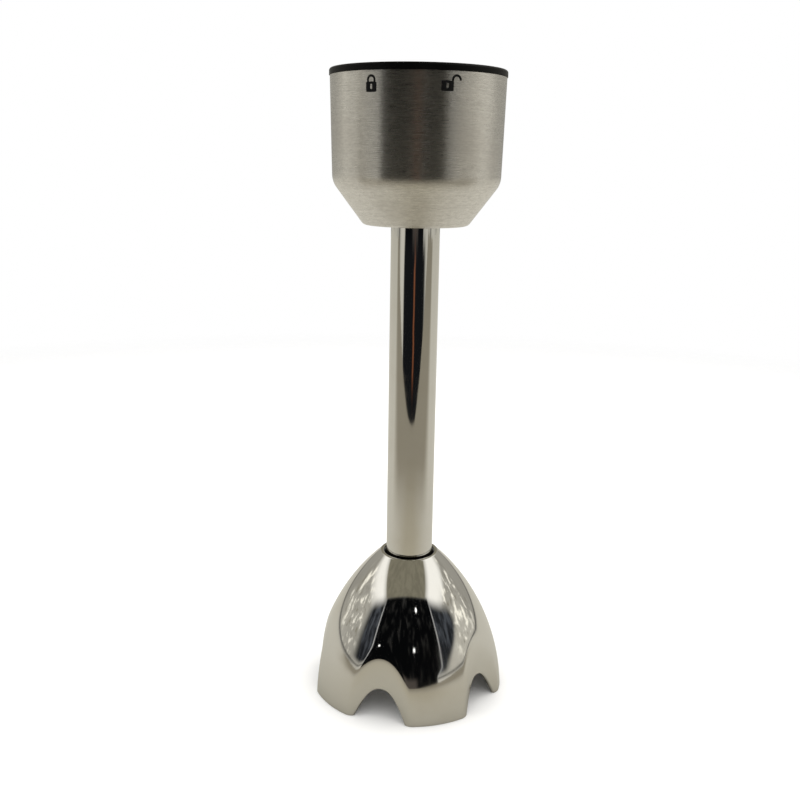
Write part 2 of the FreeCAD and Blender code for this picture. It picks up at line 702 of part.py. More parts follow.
def wing(index):
    """One sharpened wing, bent up or down about a line square to it."""
    body = new_body(f"wing_{index}")
    sketch = sketch_on(body, "XY_Plane")
    chord, tip = "Size.blade_chord", "Size.blade_radius"
    outline(
        sketch,
        [
            ("0 - 0.5 * " + chord, "Size.wing_root"),
            ("0.5 * " + chord, "Size.wing_root"),
            ("0.5 * " + chord, f"0.55 * {tip}"),
            ("0.12 * " + chord, tip),
            ("0 - 0.3 * " + chord, tip),
            ("0 - 0.5 * " + chord, f"0.8 * {tip}"),
        ],
    )
    pad = body.newObject("PartDesign::Pad", body.Name + "_pad")
    pad.Profile = sketch
    bound(pad, Length="Size.blade_thickness")
    doc.recompute()
    edges = []
    for i, edge in enumerate(body.Shape.Edges, start=1):
        middle = edge.CenterOfMass
        leading = middle.x > 0.2 * size(chord) and middle.y > 0.2 * size(tip)
        if leading and middle.z > size("Size.blade_thickness") - 0.01:
            edges.append(f"Edge{i}")
    bevel = body.newObject("PartDesign::Chamfer", body.Name + "_edge")
    bevel.Base = (pad, edges)
    bevel.ChamferType = "Two distances"
    bound(bevel, Size="0.85 * Size.blade_thickness", Size2="0.25 * " + chord)
    body.Tip = bevel
    doc.recompute()
    lean = size("Size.wing_rise") if index % 2 else size("Size.wing_dip")
    root = Placement(Vector(0, size("Size.wing_root"), 0), Rotation())
    bend = Placement(Vector(), Rotation(Vector(1, 0, 0), lean))
    level = Placement(Vector(0, 0, size("Size.blade_level")), Rotation(AXIS_Z, 360 / WINGS * index))
    body.Placement = level.multiply(root).multiply(bend).multiply(root.inverse())
    return body


def blade():
    """Stamped four-wing blade: two wings stand up and two lie nearly flat."""
    middle = cylinder("blade_middle", "Size.plate_radius", "Size.blade_thickness", "Size.blade_level")
    whole = fused("blade_plate", middle, *[wing(i) for i in range(WINGS)])
    hole = cylinder("blade_hole", "Size.tail_radius", "10", "Size.blade_level - 5")
    above = cylinder("blade_above", "Size.blade_hub_radius", "10", BLADE_TOP)
    return cut("blade", whole, hole, above)


def blade_fastening():
    """Hub and washer above the blade, and the cap nut under it."""
    hub_top = f"{SEAL_LOW} - Size.cap_sheet - Size.seal_gap - Size.hub_washer"
    turned(
        "blade_hub",
        [
            ("Size.shaft_radius", BLADE_TOP),
            ("Size.blade_hub_radius", BLADE_TOP),
            ("Size.blade_hub_radius", f"{hub_top} - 2"),
            ("Size.blade_hub_radius - 1", hub_top),
            ("Size.shaft_radius", hub_top),
        ],
    )
    ring("hub_washer", "Size.shaft_radius + 0.03", "5.6", hub_top, f"{hub_top} + Size.hub_washer")
    nut_low = "Size.blade_level - 2.8"
    hexagon = prism("nut_hexagon", "4", "2.8", nut_low)
    dome = turned(
        "nut_dome",
        [
            ("0", "Size.blade_level - 5"),
            ("1.6", "Size.blade_level - 5"),
            ("2.9", "Size.blade_level - 4"),
            ("3.1", nut_low),
            ("0", nut_low),
        ],
    )
    thread = cylinder("nut_thread", "Size.tail_radius", "4", "Size.blade_level - 3.6")
    cut("blade_nut", fused("blade_nut", hexagon, dome), thread)


NODES = [
    "coupling_cup",
    "coupling_insert",
    "cup_gasket",
    "tube_collar",
    "collar_screws",
    "shaft_tube",
    "upper_bearing_holder",
    "upper_bush",
    "dust_seal",
    "steady_ring",
    "lower_bearing_holder",
    "lower_bush",
    "holder_oring",
    "lip_seal",
    "seal_spring",
    "seal_cap",
    "bell",
    "drive_shaft",
    "thrust_washer",
    "shaft_clip",
    "spring_seat",
    "coupler_spring",
    "coupler_washer",
    "coupler_screw",
    "blade",
    "blade_hub",
    "hub_washer",
    "blade_nut",
    "drive_coupler",
]

coupling_cup()
coupling_insert()
ring("cup_gasket", "Size.tube_radius", "Size.collar_radius", CUP_INSIDE, COLLAR_LOW)
tube_collar()
collar_screws()
ring("shaft_tube", TUBE_BORE, "Size.tube_radius", "Size.tube_foot", "Size.tube_head")
upper_bearing()
steady_top = "Size.steady_foot + Size.steady_length"
ring("steady_ring", "Size.shaft_radius + 0.3", TUBE_BORE, "Size.steady_foot", steady_top)
lower_bearing()
bell()
drive_shaft()
shaft_stack()
coupler_spring()
head_screw()
drive_coupler()
blade()
blade_fastening()
doc.recompute()

for obj in doc.Objects:
    if {"Invalid", "Error"} & set(obj.State):
        raise SystemExit(f"{obj.Label} failed: {obj.State}")
os.makedirs(OUT_DIR, exist_ok=True)
for label in NODES:
    obj = doc.getObjectsByLabel(label)[0]
    shape = obj.Shape
    if shape.isNull() or not shape.isValid() or not shape.Solids:
        raise SystemExit(f"{label} has no valid solid")
    shape.exportStep(os.path.join(OUT_DIR, label + ".step"))
    print(f"{label}: {len(shape.Solids)} solid, {shape.Volume:.0f} mm3")
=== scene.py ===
# %% [markdown]
# # The blending shaft of a stick blender
# This lesson dresses a finished CAD model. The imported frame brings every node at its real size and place, in
# metres, with +Z up and the origin between the bell's feet. The lesson never moves them: it gives each one a
# finish, and it remakes the thin pressed and turned pieces as fine surfaces, because a mirror shows every facet.

# %% Load the frame
import json
import math

import bpy
import numpy as np
from mathutils import Matrix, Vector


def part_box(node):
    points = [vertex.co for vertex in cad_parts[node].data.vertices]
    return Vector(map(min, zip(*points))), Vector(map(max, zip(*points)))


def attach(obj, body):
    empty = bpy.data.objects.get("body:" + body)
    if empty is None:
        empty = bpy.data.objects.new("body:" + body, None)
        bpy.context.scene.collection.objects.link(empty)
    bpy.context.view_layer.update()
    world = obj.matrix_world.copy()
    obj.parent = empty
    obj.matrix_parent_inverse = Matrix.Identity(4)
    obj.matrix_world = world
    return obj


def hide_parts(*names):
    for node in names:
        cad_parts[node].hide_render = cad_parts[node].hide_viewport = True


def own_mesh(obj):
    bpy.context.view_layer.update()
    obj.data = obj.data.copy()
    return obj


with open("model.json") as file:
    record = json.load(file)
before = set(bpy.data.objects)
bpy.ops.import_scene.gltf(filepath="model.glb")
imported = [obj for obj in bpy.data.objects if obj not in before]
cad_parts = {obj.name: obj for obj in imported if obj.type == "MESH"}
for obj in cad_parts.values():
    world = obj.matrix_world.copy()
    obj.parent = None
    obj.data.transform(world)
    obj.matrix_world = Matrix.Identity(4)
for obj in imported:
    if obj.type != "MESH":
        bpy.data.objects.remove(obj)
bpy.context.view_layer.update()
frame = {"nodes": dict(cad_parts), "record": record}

MM = 0.001
TURN = 2 * math.pi

# %% [markdown]
# ## Surfaces from arrays
# A pressed or turned piece is one sheet of points: rows run round the axis and columns run round the wall's
# section. Blender could spin a curve with a modifier, but a grid of numbers shows the formula, keeps its quads in
# even rows for the mirror finishes, and costs one call to build.


# %% Build a mesh from a grid
def surface(name, points, wrap=(True, True)):
    """A quad mesh from a grid of points of shape (rows, columns, 3), in metres.

    Point (i, j) joins (i + 1, j), (i + 1, j + 1) and (i, j + 1), and a wrapped direction joins its last line to its
    first. The sum of p0 . (p1 x p2) over the triangles is six times the volume: where it is negative the quads
    are turned round, so that they face outwards.
    """
    rows, columns = points.shape[:2]
    index = np.arange(rows * columns).reshape(rows, columns)
    if wrap[0]:
        index = np.concatenate([index, index[:1]], axis=0)
    if wrap[1]:
        index = np.concatenate([index, index[:, :1]], axis=1)
    quads = np.stack([index[:-1, :-1], index[1:, :-1], index[1:, 1:], index[:-1, 1:]], axis=-1).reshape(-1, 4)
    flat = points.reshape(-1, 3)
    a, b, c, d = (flat[quads[:, k]] for k in range(4))
    volume = np.einsum("ij,ij->", a, np.cross(b, c)) + np.einsum("ij,ij->", a, np.cross(c, d))
    if volume < 0:
        quads = quads[:, ::-1]
    mesh = bpy.data.meshes.new(name)
    mesh.from_pydata(flat.tolist(), [], quads.tolist())
    mesh.shade_smooth()
    piece = bpy.data.objects.new(name, mesh)
    bpy.context.scene.collection.objects.link(piece)
    print(f"{name}: {len(quads)} quads, {abs(volume) / 6 / MM**3:.0f} mm3")
    return piece


# %% Draw a rounded section
def section(corners, radii, arc=7):
    """The closed outline of a wall's section: straight runs joined by arcs.

    Each corner p has unit directions a and b to its neighbours. An arc of radius r touches both runs at
    r / tan(half) from p and has its centre at r / sin(half) along the bisector. The arc is swept by turning one
    radius towards the other in equal steps. Seven more points lie along each run, close together near its ends,
    so that the shading of a long run isn't pulled by the arcs beside it.
    """
    p = np.array(corners, float)
    r = np.array(radii, float)[:, None]
    to_last = np.roll(p, 1, axis=0) - p
    to_next = np.roll(p, -1, axis=0) - p
    a = to_last / np.linalg.norm(to_last, axis=1, keepdims=True)
    b = to_next / np.linalg.norm(to_next, axis=1, keepdims=True)
    half = np.arccos(np.clip((a * b).sum(axis=1, keepdims=True), -1, 1)) / 2
    first = p + a * r / np.tan(half)
    last = p + b * r / np.tan(half)
    centre = p + (a + b) / np.linalg.norm(a + b, axis=1, keepdims=True) * r / np.sin(half)
    sweep = math.pi - 2 * half
    t = np.linspace(0, 1, arc)[None, :, None]
    start, end = (first - centre)[:, None], (last - centre)[:, None]
    angle = sweep[:, None]
    arcs = centre[:, None] + (np.sin((1 - t) * angle) * start + np.sin(t * angle) * end) / np.sin(angle)
    share = np.array([0.02, 0.08, 0.25, 0.5, 0.75, 0.92, 0.98])[None, :, None]
    runs = last[:, None] * (1 - share) + np.roll(first, -1, axis=0)[:, None] * share
    return np.concatenate([arcs, runs], axis=1).reshape(-1, 2)


def lathe(name, outline, turns=160):
    """A turned piece: the outline's (radius, height) points, in mm, carried round the axis.

    Point (i, j) is (r_j sin t_i, -r_j cos t_i, z_j), with t_i equally spaced round the full turn.
    """
    t = np.arange(turns)[:, None] * TURN / turns
    r, z = outline[None, :, 0], outline[None, :, 1]
    points = np.stack([r * np.sin(t), -r * np.cos(t), z + 0 * t], axis=-1)
    return surface(name, points * MM)


# %% [markdown]
# ## Reading sizes from the frame
# Nothing is typed twice. The tops, bottoms and radii of the CAD nodes are read from their boxes, and the surfaces
# below are worked out from them, so the looks follow the design.

# %% Measure the CAD nodes
def low(node):
    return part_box(node)[0][2] / MM


def high(node):
    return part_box(node)[1][2] / MM


def radius(node):
    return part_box(node)[1][0] / MM


cup_low, cup_high, cup_radius = low("coupling_cup"), high("coupling_cup"), radius("coupling_cup")
tube_low, tube_high, tube_radius = low("shaft_tube"), high("shaft_tube"), radius("shaft_tube")
bell_high = high("bell")
print(f"cup {cup_low:.1f} to {cup_high:.1f} mm, tube radius {tube_radius:.1f} mm, bell {bell_high:.1f} mm high")

# %% [markdown]
# ## The coupling cup
# The real cup is deep drawn from sheet 0.8 mm thick: a flat bottom, a cone, and a wall that opens a little
# towards the rim. Its section has an outer and an inner line that are the same distance apart, and two soft bends.

# %% Turn the cup
SHEET = 0.8
CONE_HEIGHT = 15.2
WALL_OPENS = 0.9
BOTTOM_RADIUS = 19.1
BORE_EDGE, BOTTOM_BEND, SHOULDER_BEND, RIM_EDGE = 0.05, 2.5, 8.0, 0.25
shoulder_radius = cup_radius - WALL_OPENS
shoulder = cup_low + CONE_HEIGHT
cup_outline = section(
    [
        (tube_radius, cup_low),
        (BOTTOM_RADIUS, cup_low),
        (shoulder_radius, shoulder),
        (cup_radius, cup_high),
        (cup_radius - SHEET, cup_high),
        (shoulder_radius - SHEET, shoulder + 0.3 * SHEET),
        (BOTTOM_RADIUS - 0.35 * SHEET, cup_low + SHEET),
        (tube_radius, cup_low + SHEET),
    ],
    [BORE_EDGE, BOTTOM_BEND, SHOULDER_BEND, RIM_EDGE, RIM_EDGE, SHOULDER_BEND - SHEET, BOTTOM_BEND - SHEET, BORE_EDGE],
    arc=12,
)
cup = lathe("cup_shell", cup_outline, turns=220)
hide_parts("coupling_cup")
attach(cup, "wand")

# %% [markdown]
# ## The long tube
# A drawn tube is the plainest piece here, and the one where a facet would show most: its mirror finish stretches
# the room into thin upright stripes. It gets many columns and a fine radius at each end.

# %% Turn the tube
TUBE_WALL, TUBE_EDGE = 0.8, 0.2
tube_outline = section(
    [
        (tube_radius, tube_low),
        (tube_radius, tube_high),
        (tube_radius - TUBE_WALL, tube_high),
        (tube_radius - TUBE_WALL, tube_low),
    ],
    [TUBE_EDGE] * 4,
)
tube = lathe("tube_skin", tube_outline, turns=128)
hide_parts("shaft_tube")
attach(tube, "wand")

# %% [markdown]
# ## The fluted bell
# The bell is pressed from 1.2 mm sheet. Its form is an ogive, one arc turned round the axis, into which five
# upright flutes are pressed; at the foot of each flute an arched notch lets food in. Cutting cylinders from a
# dome gives hard creases, so the two forms are blended here instead: wherever dome and flute are within a few
# millimetres of each other, a smooth minimum rounds the crease as the press tool does.

# %% Describe the bell's form
FLUTES = 5
FIRST_FLUTE = math.radians(-17.5)
WALL = 1.2
BELL_RADIUS = 37.9
ARC_OUT, ARC_DOWN = 42.8, 4.7
ARC_RADIUS = math.hypot(BELL_RADIUS + ARC_OUT, ARC_DOWN)
FLUTE_RADIUS, FLUTE_DEPTH = 24.0, 4.7
FLUTE_REACH = BELL_RADIUS - FLUTE_DEPTH + FLUTE_RADIUS
NOTCH_HALF, NOTCH_HEIGHT, NOTCH_POWER = 9.6, 11.8, 2.3
NECK_RECESS = 1.0


def soft_minimum(a, b, reach):
    """The smaller of a and b, rounded where they differ by less than reach.

    With h = max(reach - |a - b|, 0) / reach, it is min(a, b) - reach h^3 / 6.
    """
    h = np.maximum(reach - np.abs(a - b), 0) / reach
    return np.minimum(a, b) - reach * h**3 / 6


def from_flute(t):
    """Angle from the middle of the nearest flute, between minus and plus half a flute's share."""
    share = TURN / FLUTES
    return (t - FIRST_FLUTE + share / 2) % share - share / 2


def bell_radius(t, z, inset=0.0, crease=3.2):
    """Radius of the bell's form at azimuth t and height z, pulled in by inset.

    The dome is sqrt((R - inset)^2 - (z + down)^2) - out. A flute is the near side of an upright cylinder of
    radius f + inset about a line at distance c: c cos(a) - sqrt((f + inset)^2 - (c sin(a))^2).
    """
    dome = np.sqrt((ARC_RADIUS - inset) ** 2 - (z + ARC_DOWN) ** 2) - ARC_OUT
    a = from_flute(t)
    under = (FLUTE_RADIUS + inset) ** 2 - (FLUTE_REACH * np.sin(a)) ** 2
    flute = FLUTE_REACH * np.cos(a) - np.sqrt(np.maximum(under, 0))
    return soft_minimum(dome, flute, crease)


def notch_height(t):
    """Height of the bell's lower edge: an arch H (1 - |y / w|^p) over each flute, and 0 between them.

    y is the distance from the middle of the flute, measured across it.
    """
    y = BELL_RADIUS * 0.9 * np.sin(from_flute(t))
    return NOTCH_HEIGHT * np.maximum(1 - np.abs(y / NOTCH_HALF) ** NOTCH_POWER, 0)


mid_flute = float(bell_radius(FIRST_FLUTE, 0.0))
print(f"at the foot the bell is {BELL_RADIUS:.1f} mm in radius, and {mid_flute:.1f} mm in the middle of a flute")

# %% Shape the bell
def crowded(count, crowd, width, share):
    """Angles across one flute's share, closer together round plus and minus crowd.

    The density is 1 plus a bell curve at each crowded place, and equal steps of its running sum give the angles.
    """
    fine = np.linspace(-share / 2, share / 2, 4001)
    density = 1 + 3.5 * (np.exp(-(((fine - crowd) / width) ** 2)) + np.exp(-(((fine + crowd) / width) ** 2)))
    total = np.concatenate([[0], np.cumsum((density[1:] + density[:-1]) / 2)])
    return np.interp(np.arange(count) * total[-1] / count, total, fine)


FLUTE_COLUMNS, CREASE_AT, CREASE_WIDTH = 92, 0.29, 0.07
EDGE_ROUND, LIP_ROUND = 0.22, 0.35
NECK_WALL, SLEEVE, SLEEVE_EDGE, RECESS_EDGE = 1.6, 8.0, 0.15, 0.12
per_flute = crowded(FLUTE_COLUMNS, CREASE_AT, CREASE_WIDTH, TURN / FLUTES)
around = (FIRST_FLUTE + np.arange(FLUTES)[:, None] * TURN / FLUTES + per_flute[None, :]).reshape(-1, 1)
edge = notch_height(around)
neck = bell_high
rise = np.sin(np.linspace(0.0, 1.0, 62) * math.pi / 2)[None, :] ** 1.15

outer_z = edge + EDGE_ROUND + (neck - LIP_ROUND - edge - EDGE_ROUND) * rise
outer_r = bell_radius(around, outer_z)
under_neck = neck - NECK_WALL
inner_z = edge + EDGE_ROUND + (under_neck - edge - EDGE_ROUND) * rise[:, ::-2]
inner_r = bell_radius(around, inner_z, WALL)
lip = float(outer_r[:, -1].mean())
recess = tube_radius + NECK_RECESS
sleeve_low = under_neck - SLEEVE
neck_line = np.array(
    [
        (lip - 0.25, neck),
        (recess + RECESS_EDGE, neck),
        (recess, neck - RECESS_EDGE),
        (recess, neck - NECK_RECESS),
        (tube_radius, neck - NECK_RECESS),
        (tube_radius, sleeve_low + SLEEVE_EDGE),
        (tube_radius + SLEEVE_EDGE, sleeve_low),
        (recess - SLEEVE_EDGE, sleeve_low),
        (recess, sleeve_low + SLEEVE_EDGE),
        (recess, under_neck),
    ]
)
ones = np.ones_like(around)
edge_in = bell_radius(around, edge, WALL) + EDGE_ROUND
edge_out = bell_radius(around, edge) - EDGE_ROUND
bell_r = np.concatenate([outer_r, ones * neck_line[:, 0], inner_r, edge_in, edge_out], axis=1)
bell_z = np.concatenate([outer_z, ones * neck_line[:, 1], inner_z, edge, edge], axis=1)
bell_points = np.stack([bell_r * np.sin(around), -bell_r * np.cos(around), bell_z], axis=-1)
bell = surface("bell_shell", bell_points * MM)
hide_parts("bell")
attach(bell, "wand")

# %% [markdown]
# ## The blade
# Four wings are stamped from one plate, two bent up and two nearly flat, and the leading edge of each is ground
# to a bevel on its upper side. Each wing is its section carried along a path that leaves the hub level and then
# turns up over a few millimetres, which no straight CAD bend shows.

# %% Describe a wing
BLADE_LEVEL, BLADE_SHEET, BLADE_TIP, CHORD = 12.0, 1.5, 25.0, 9.0
WING_ROOT, PLATE_RADIUS, HUB_BORE = 4.3, 6.2, 1.9
RISE, DIP, BEND_RUN = math.radians(22), math.radians(-4), 5.0
BEVEL_WIDTH, BEVEL_DEPTH, BEVEL_FROM, BEVEL_RUN = 2.3, 0.85, PLATE_RADIUS + 0.5, 3.0
LEAD_FROM, LEAD_TAPER = 0.55, 0.38
TRAIL_FROM, TRAIL_TAPER = 0.8, 0.2


def wing_points(bend, steps=34):
    """One wing's grid: the five corners of its section at each step of its path.

    The path's slope grows from 0 to bend by a smooth step over the bend's run from the wing's root, and its points
    are the running sums of the slope's cosine and sine. The section is a strip from the trailing to the leading
    edge, and its upper leading corner is ground back. From a share of the way out, each edge closes in to the tip.
    """
    reach = np.linspace(WING_ROOT, BLADE_TIP, steps)
    s = np.clip((reach - WING_ROOT) / BEND_RUN, 0, 1)
    slope = bend * s * s * (3 - 2 * s)
    step = np.diff(reach, prepend=WING_ROOT)
    out, up = WING_ROOT + np.cumsum(step * np.cos(slope)), np.cumsum(step * np.sin(slope))
    along = reach / BLADE_TIP
    lead = CHORD * (0.5 - LEAD_TAPER * np.maximum(along - LEAD_FROM, 0) / (1 - LEAD_FROM))
    trail = -CHORD * (0.5 - TRAIL_TAPER * np.maximum(along - TRAIL_FROM, 0) / (1 - TRAIL_FROM))
    ground = np.clip((reach - BEVEL_FROM) / BEVEL_RUN, 0, 1)
    bevel = ground * BEVEL_WIDTH
    land = BLADE_SHEET * (1 - BEVEL_DEPTH * ground)
    across = np.stack([trail, lead, lead, lead - bevel - 0.01, trail], axis=1)
    height = np.stack([0 * reach, 0 * reach, land, 0 * reach + BLADE_SHEET, 0 * reach + BLADE_SHEET], axis=1)
    x = across
    y = out[:, None] - np.sin(slope)[:, None] * height
    z = up[:, None] + np.cos(slope)[:, None] * height + BLADE_LEVEL
    grid = np.stack([x, y, z], axis=-1)
    ends = grid.mean(axis=1, keepdims=True) + 0 * grid
    return np.concatenate([ends[:1], grid, ends[-1:]], axis=0)


tips = [float(wing_points(bend)[-1, 0, 2]) for bend in (DIP, RISE)]
print(f"the wings' tips are at {tips[0]:.1f} and {tips[1]:.1f} mm")

# %% Grind the four wings
def turned(grid, angle):
    """A grid of points turned about the axis: (x, y) becomes (x cos - y sin, x sin + y cos)."""
    x, y, z = grid[..., 0], grid[..., 1], grid[..., 2]
    c, s = math.cos(angle), math.sin(angle)
    return np.stack([x * c - y * s, x * s + y * c, z], axis=-1)


wings = []
for i in range(4):
    grid = turned(wing_points(RISE if i % 2 else DIP), i * TURN / 4)
    wings.append(surface(f"wing_{i}", grid * MM, wrap=(False, True)))
plate = lathe(
    "blade_plate",
    section(
        [
            (HUB_BORE, BLADE_LEVEL),
            (PLATE_RADIUS, BLADE_LEVEL),
            (PLATE_RADIUS, BLADE_LEVEL + BLADE_SHEET),
            (HUB_BORE, BLADE_LEVEL + BLADE_SHEET),
        ],
        [0.1, 0.2, 0.2, 0.1],
    ),
    turns=72,
)
with bpy.context.temp_override(active_object=plate, selected_editable_objects=[plate, *wings]):
    bpy.ops.object.join()
blade = plate
blade.name = "blade_ground"
bevel = blade.modifiers.new("edges", "BEVEL")
bevel.width = 0.08 * MM
bevel.segments = 2
bevel.limit_method = "ANGLE"
bevel.angle_limit = math.radians(25)
bevel.harden_normals = True
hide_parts("blade")
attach(blade, "rotor")

# %% [markdown]
# ## The coupler's spring
# The CAD model holds one plain helix. A real compression spring closes its end coils flat, so that it stands
# square on its seat. The wire's section is carried along a helix whose pitch falls to the wire's own thickness
# over the first and last turn.

# %% Wind the spring
spring_low, spring_high = low("coupler_spring"), high("coupler_spring")
WIRE = 0.4
SPRING_TURNS = 5.5
coil_radius = radius("coupler_spring") - WIRE


def spring_points(steps=260, sides=10):
    """A tube along a helix.

    Its height is the running sum of a pitch that is small at both ends and wide between them. The circle of the
    wire stands in the plane of the radius and the axis, which is close to square to so flat a helix.
    """
    turn = np.linspace(0, SPRING_TURNS, steps)
    ends = np.minimum(turn, SPRING_TURNS - turn)
    pitch = 0.25 + np.clip(ends - 0.6, 0, 0.7)
    climb = np.concatenate([[0], np.cumsum((pitch[1:] + pitch[:-1]) / 2)])
    z = spring_low + WIRE + (spring_high - spring_low - 2 * WIRE) * climb / climb[-1]
    a = np.arange(sides) * TURN / sides
    thick = WIRE * np.concatenate([[0.0], np.ones(steps - 2), [0.0]])[:, None]
    r = coil_radius + thick * np.cos(a)[None, :]
    h = z[:, None] + thick * np.sin(a)[None, :]
    t = turn[:, None] * TURN
    return np.stack([r * np.cos(t), r * np.sin(t), h], axis=-1)


spring = surface("spring_coil", spring_points() * MM, wrap=(False, True))
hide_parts("coupler_spring")
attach(spring, "rotor")
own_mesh(spring)

# %% [markdown]
# ## The lock marks
# Two padlocks are pad printed on the cup, closed on the left and open on the right. Ink is a film with a sharp
# edge, so each mark is a real film that stands 0.03 mm proud and is bent round the cup: a ring of columns between
# the body's rounded outline and its keyhole, and a band carried along the shackle's arch.

# %% Bend a flat film round the cup
INK = 0.03
mark_slope = (cup_radius - shoulder_radius) / (cup_high - shoulder)


def film(name, flat, azimuth, wrap):
    """A thin film on the cup's wall from a grid of flat (across, up) points in mm.

    Up is counted from the cup's edge, and the wall's radius falls evenly below it. A point lies at the azimuth plus
    across / radius. The outer face stands the ink's thickness proud of the wall, the inner one lies as deep in it,
    and both are one loop of rows.
    """
    across, up = flat[..., 0], flat[..., 1]
    z = cup_high + up
    wall = cup_radius + up * mark_slope
    t = math.radians(azimuth) + across / wall

    def at(r):
        return np.stack([r * np.sin(t), -r * np.cos(t), z], axis=-1)

    both = np.concatenate([at(wall + INK), at(wall - INK)[::-1]], axis=0)
    return surface(name, both * MM, wrap=(True, wrap))


def rounded_box(width, height, power, angles):
    """Points of a rounded rectangle about (0, 0), one for each angle, by a superellipse of the given power."""
    c, s = np.cos(angles), np.sin(angles)
    scale = (np.abs(c / (width / 2)) ** power + np.abs(s / (height / 2)) ** power) ** (-1 / power)
    return np.stack([c * scale, s * scale], axis=-1)


def lock_body(name, azimuth, centre, width, height):
    """The body of a padlock as a film with a keyhole through it."""
    angles = np.arange(96) * TURN / 96
    outer = rounded_box(width, height, 9, angles)
    inner = rounded_box(KEYHOLE_W, KEYHOLE_H, 3, angles) + np.array([0, 0.1])
    rows = np.stack([inner, (inner + outer) / 2, outer], axis=0) + np.array(centre)
    return film(name, rows, azimuth, True)


def shackle(name, azimuth, path, width):
    """A band of even width carried along a path of (across, up) points: its sides are the path plus and minus
    half the width along the path's normal."""
    along = np.gradient(path, axis=0)
    along /= np.linalg.norm(along, axis=1, keepdims=True)
    normal = np.stack([-along[:, 1], along[:, 0]], axis=1)
    rows = np.stack([path - normal * width / 2, path + normal * width / 2], axis=0)
    return film(name, rows, azimuth, False)


# %% Print the two marks
BODY_H = 3.3
KEYHOLE_W, KEYHOLE_H = 0.78, 1.7
SHACKLE_W = 0.76
half_turn = np.linspace(math.pi, 0, 40)


def arch_path(middle, reach, top, body_top, right_leg):
    """An upright arch under the line up = top: a leg down into the body, a half circle and a second leg."""
    up = top - SHACKLE_W / 2 - reach
    bow = np.stack([middle + reach * np.cos(half_turn), up + reach * np.sin(half_turn)], axis=1)
    left = np.array([[middle - reach, body_top - 0.1]])
    right = np.array([[middle + reach, up - right_leg]])
    return np.concatenate([left, bow, right], axis=0)


def padlock(name, azimuth, body_up, body_width, arch_middle, reach, top, right_leg):
    """The two printed pieces of one mark: its body with a keyhole, and its shackle."""
    body_top = body_up + BODY_H / 2
    arch = arch_path(arch_middle, reach, top, body_top, right_leg)
    return [
        lock_body(f"mark_{name}_body", azimuth, (0, body_up), body_width, BODY_H),
        shackle(f"mark_{name}_shackle", azimuth, arch, SHACKLE_W),
    ]


closed = {"body_up": -5.5, "body_width": 4.05, "arch_middle": 0, "reach": 1.28, "top": -1.6, "right_leg": 0.65}
opened = {"body_up": -5.0, "body_width": 4.3, "arch_middle": 3.2, "reach": 1.4, "top": -1.3, "right_leg": 0.15}
marks = padlock("closed", azimuth=-30.5, **closed) + padlock("open", azimuth=17.1, **opened)
for mark in marks:
    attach(mark, "wand")

# %% [markdown]
# ## Finishes as expressions
# Every finish below is a small calculation: a few noises are scaled, added and clamped, and the result drives
# colour, roughness and a bump. Written out as nodes such a sum is long, so one class wraps a socket and lets Python's
# operators make the Math nodes.


# %% Wrap a socket
class Value:
    """A socket that carries a number. Arithmetic on it adds Math nodes to its tree."""

    def __init__(self, tree, socket):
        self.tree = tree
        self.socket = socket

    def __add__(self, other):
        return self.tree.math("ADD", self, other)

    def __sub__(self, other):
        return self.tree.math("SUBTRACT", self, other)

    def __rsub__(self, other):
        return self.tree.math("SUBTRACT", other, self)

    def __mul__(self, other):
        return self.tree.math("MULTIPLY", self, other)

    def __truediv__(self, other):
        return self.tree.math("DIVIDE", self, other)

    def __pow__(self, other):
        return self.tree.math("POWER", self, other)

    def __abs__(self):
        return self.tree.math("ABSOLUTE", self)

    __radd__ = __add__
    __rmul__ = __mul__


# %% [markdown]
# A second class holds a tree, of a material or of the world, and makes any other node in one call.


# %% Wrap a tree
class Tree:
    """A node tree, and the calls that add to it."""

    def __init__(self, node_tree):
        self.nodes = node_tree.nodes
        self.links = node_tree.links

    def node(self, kind, settings=None, **sockets):
        """Adds a node: its settings first, then numbers, colours or links on the sockets named by their words."""
        made = self.nodes.new(kind)
        for key, value in (settings or {}).items():
            setattr(made, key, value)
        for words, value in sockets.items():
            self.feed(made, words.replace("_", " "), value)
        return made

    def feed(self, node, name, value):
        """Links a Value to a socket, or sets it to a constant. The socket is named, or numbered as i0, i1 and on."""
        key = int(name[1:]) if name[0] == "i" and name[1:].isdigit() else name
        socket = node.inputs[key]
        if isinstance(value, Value):
            self.links.new(value.socket, socket)
        else:
            socket.default_value = value

    def out(self, node, name=0):
        return Value(self, node.outputs[name])

    def math(self, operation, *values, kind="ShaderNodeMath"):
        made = self.node(kind, {"operation": operation}, **{f"i{i}": value for i, value in enumerate(values)})
        return Value(self, made.outputs[0])

    def vector(self, operation, *values):
        return self.math(operation, *values, kind="ShaderNodeVectorMath")

    def mix(self, factor, first, second):
        """A colour that goes from first to second as factor goes from 0 to 1."""
        made = self.node("ShaderNodeMix", {"data_type": "RGBA"}, i0=factor, i6=first, i7=second)
        return Value(self, made.outputs[2])

    def step(self, value, start, end):
        """0 below start and 1 above end, with a smooth rise between."""
        smooth = {"interpolation_type": "SMOOTHSTEP"}
        return self.out(self.node("ShaderNodeMapRange", smooth, i0=value, i1=start, i2=end, i3=0.0, i4=1.0))

    def noise(self, vector, scale, detail=2.0, roughness=0.5):
        made = self.node("ShaderNodeTexNoise", Vector=vector, Scale=scale, Detail=detail, Roughness=roughness)
        return self.out(made)


# %% [markdown]
# A third class is a tree with a Principled shader at its end, and the place of each point to start from.


